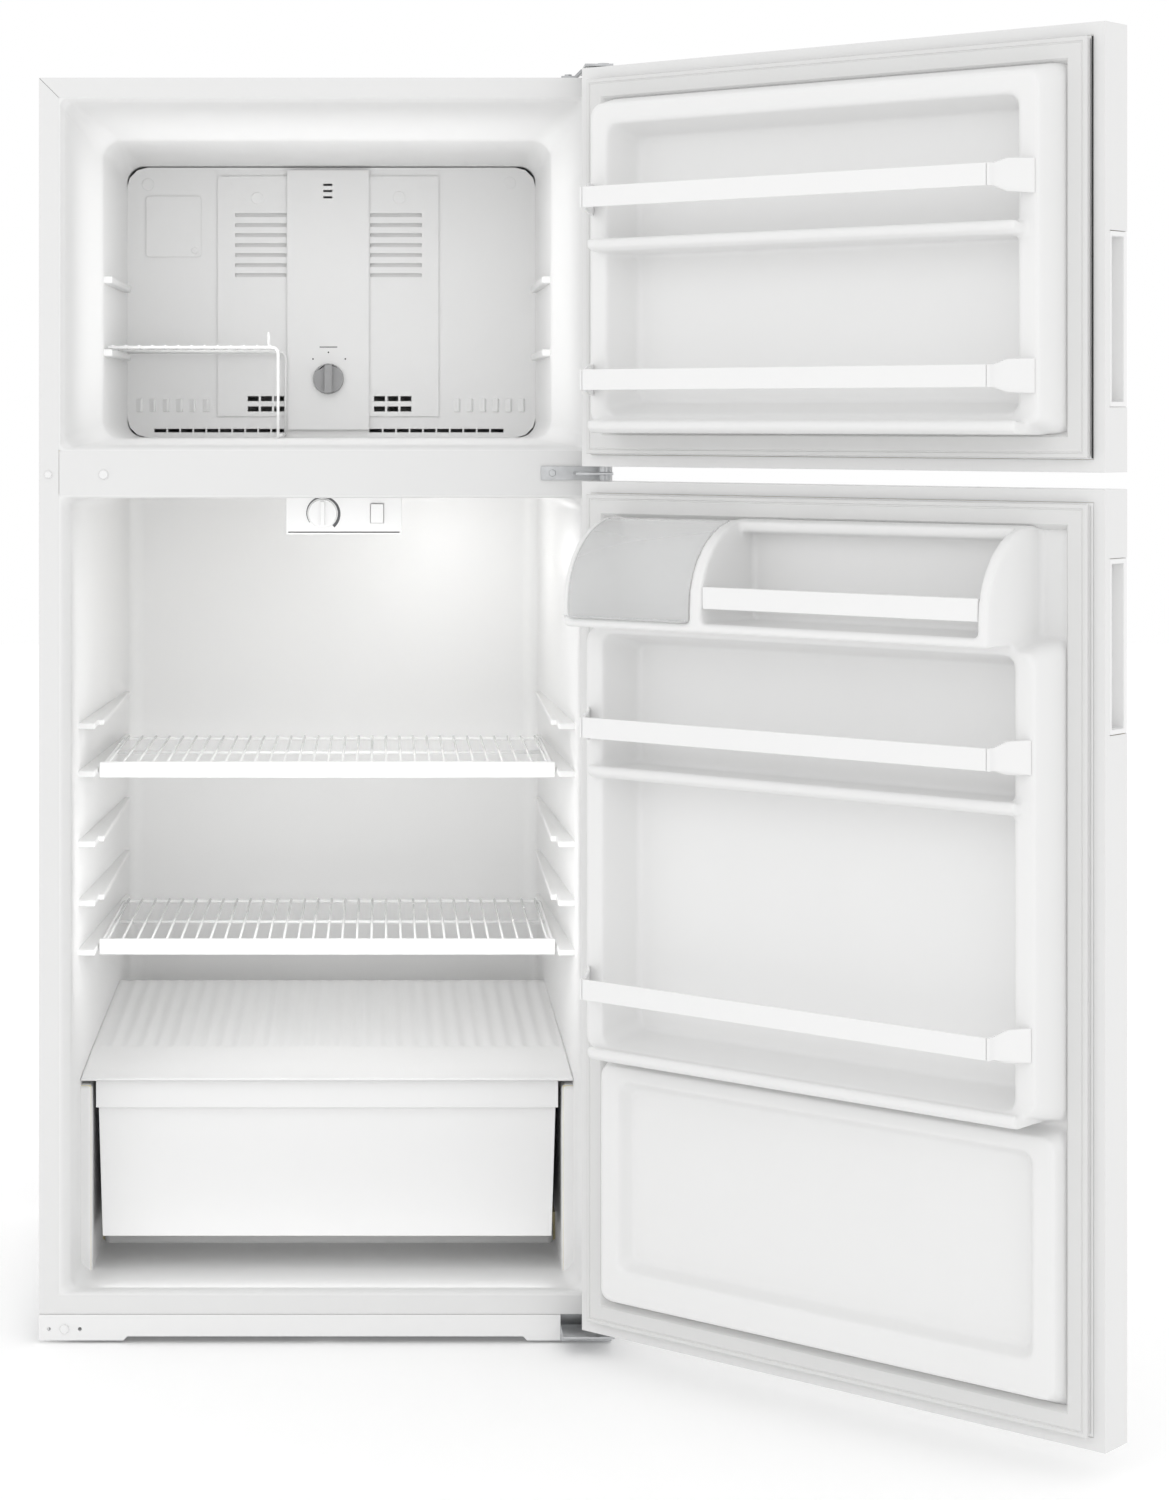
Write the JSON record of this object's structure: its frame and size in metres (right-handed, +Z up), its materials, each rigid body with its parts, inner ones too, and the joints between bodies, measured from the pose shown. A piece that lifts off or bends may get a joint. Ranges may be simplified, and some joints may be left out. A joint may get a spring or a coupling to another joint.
{
  "type": "top freezer refrigerator",
  "caption": "Free-standing white refrigerator with a freezer compartment on top, both doors standing open, wire shelves, door bins and a crisper drawer.",
  "frame": {"origin": "on the floor, under the middle of the overall box with both doors open as at rest", "axes": "+X to the right seen from the front, where the doors are hinged; +Y from the front to the back of the cabinet; +Z up"},
  "size_m": [1.227, 1.1954, 1.568],
  "materials": {
    "painted_steel": "satin",
    "liner_plastic": "satin",
    "trim_plastic": "satin",
    "gasket_rubber": "matte",
    "clear_plastic": "gloss",
    "zinc_steel": "satin",
    "coated_wire": "satin",
    "foam": "matte",
    "grey_plastic": "satin",
    "aluminium": "satin",
    "copper": "satin",
    "black_steel": "satin",
    "motor_iron": "matte",
    "dark_plastic": "matte",
    "lamp_glass": "gloss",
    "fibre_board": "matte",
    "roller_rubber": "matte"
  },
  "bodies": {
    "cabinet": {"cabinet_wrapper": "painted_steel", "back_panel": "painted_steel", "insulation_foam": "foam", "freezer_liner": "liner_plastic", "fridge_liner": "liner_plastic", "centre_rail": "painted_steel", "base_frame": "zinc_steel", "base_grille": "trim_plastic", "top_hinge": "zinc_steel", "centre_hinge": "zinc_steel", "bottom_hinge": "zinc_steel", "rail_plug": "trim_plastic", "flange_plug": "trim_plastic", "grille_plug": "trim_plastic", "evaporator_cover": "liner_plastic", "fill_cover": "liner_plastic", "evaporator_coil": "aluminium", "evaporator_fan_motor": "dark_plastic", "control_housing": "trim_plastic", "lamp_socket": "trim_plastic", "lamp_bulb": "lamp_glass", "crisper_cover": "trim_plastic", "compressor_shell": "black_steel", "compressor_motor": "motor_iron", "condenser_coil": "copper", "condenser_fan_motor": "dark_plastic", "drain_pan": "dark_plastic", "rear_access_cover": "fibre_board"},
    "freezer_door": {"freezer_door_panel": "painted_steel", "freezer_door_foam": "foam", "freezer_door_liner": "liner_plastic", "freezer_door_gasket": "gasket_rubber", "freezer_door_handle": "trim_plastic", "freezer_upper_trim": "trim_plastic", "freezer_lower_trim": "trim_plastic"},
    "fridge_door": {"fridge_door_panel": "painted_steel", "fridge_door_foam": "foam", "fridge_door_liner": "liner_plastic", "fridge_door_gasket": "gasket_rubber", "fridge_door_handle": "trim_plastic", "fridge_rack_trim": "trim_plastic", "fridge_upper_trim": "trim_plastic", "fridge_lower_trim": "trim_plastic"},
    "dairy_flap": {"dairy_door": "clear_plastic"},
    "left_leg": {"levelling_leg_left": "zinc_steel"},
    "right_leg": {"levelling_leg_right": "zinc_steel"},
    "left_roller": {"rear_roller_left": "roller_rubber"},
    "right_roller": {"rear_roller_right": "roller_rubber"},
    "evaporator_fan": {"evaporator_fan_blade": "trim_plastic"},
    "condenser_fan": {"condenser_fan_blade": "trim_plastic"},
    "freezer_knob": {"freezer_control_knob": "grey_plastic"},
    "fridge_dial": {"temperature_dial": "trim_plastic"},
    "light_switch": {"door_switch": "trim_plastic"},
    "freezer_shelf": {"freezer_wire_shelf": "coated_wire", "freezer_shelf_legs": "coated_wire"},
    "upper_shelf": {"upper_shelf_wires": "coated_wire", "upper_shelf_trim": "trim_plastic"},
    "lower_shelf": {"lower_shelf_wires": "coated_wire", "lower_shelf_trim": "trim_plastic"},
    "drawer": {"crisper_drawer": "trim_plastic"}
  },
  "joints": [
    {"name": "freezer_door_hinge", "type": "hinge", "parent": "cabinet", "child": "freezer_door", "pos_m": [0.07756, -0.08917, 1.32], "axis": [0, 0, 1], "range_deg": [-139, 11]},
    {"name": "fridge_door_hinge", "type": "hinge", "parent": "cabinet", "child": "fridge_door", "pos_m": [0.07756, -0.08917, 0.545], "axis": [0, 0, 1], "range_deg": [-139, 11]},
    {"name": "dairy_door_hinge", "type": "hinge", "parent": "fridge_door", "child": "dairy_flap", "pos_m": [0.14831, -0.22209, 1.01], "axis": [-0.7547, 0.6561, 0], "range_deg": [0, 65]},
    {"name": "freezer_shelf_slide", "type": "slide", "parent": "cabinet", "child": "freezer_shelf", "axis": [0, -1, 0], "range_m": [0, 0.25]},
    {"name": "upper_shelf_slide", "type": "slide", "parent": "cabinet", "child": "upper_shelf", "axis": [0, -1, 0], "range_m": [0, 0.3]},
    {"name": "lower_shelf_slide", "type": "slide", "parent": "cabinet", "child": "lower_shelf", "axis": [0, -1, 0], "range_m": [0, 0.3]},
    {"name": "drawer_slide", "type": "slide", "parent": "cabinet", "child": "drawer", "axis": [0, -1, 0], "range_m": [0, 0.3]},
    {"name": "freezer_knob_turn", "type": "hinge", "parent": "cabinet", "child": "freezer_knob", "pos_m": [-0.26504, 0.34973, 1.19], "axis": [0, 1, 0], "range_deg": [-120, 120]},
    {"name": "fridge_dial_turn", "type": "hinge", "parent": "cabinet", "child": "fridge_dial", "pos_m": [-0.26704, 0.05773, 1.016], "axis": [0, 1, 0], "range_deg": [-135, 135]},
    {"name": "light_switch_push", "type": "slide", "parent": "cabinet", "child": "light_switch", "axis": [0, 1, 0], "range_m": [0, 0.0035], "stiffness_N_per_m": 250, "springref_m": -0.002},
    {"name": "evaporator_fan_spin", "type": "hinge", "parent": "cabinet", "child": "evaporator_fan", "pos_m": [-0.26604, 0.39273, 1.392], "axis": [0, 1, 0], "continuous": true},
    {"name": "condenser_fan_spin", "type": "hinge", "parent": "cabinet", "child": "condenser_fan", "pos_m": [-0.32104, 0.51773, 0.1313], "axis": [0, 1, 0], "continuous": true},
    {"name": "left_leg_turn", "type": "hinge", "parent": "cabinet", "child": "left_leg", "pos_m": [-0.58154, -0.00027, 0.01], "axis": [0, 0, 1], "continuous": true},
    {"name": "right_leg_turn", "type": "hinge", "parent": "cabinet", "child": "right_leg", "pos_m": [0.05946, -0.00027, 0.01], "axis": [0, 0, 1], "continuous": true},
    {"name": "left_roller_spin", "type": "hinge", "parent": "cabinet", "child": "left_roller", "pos_m": [-0.58154, 0.54973, 0.0155], "axis": [1, 0, 0], "continuous": true},
    {"name": "right_roller_spin", "type": "hinge", "parent": "cabinet", "child": "right_roller", "pos_m": [0.05946, 0.54973, 0.0155], "axis": [1, 0, 0], "continuous": true}
  ]
}
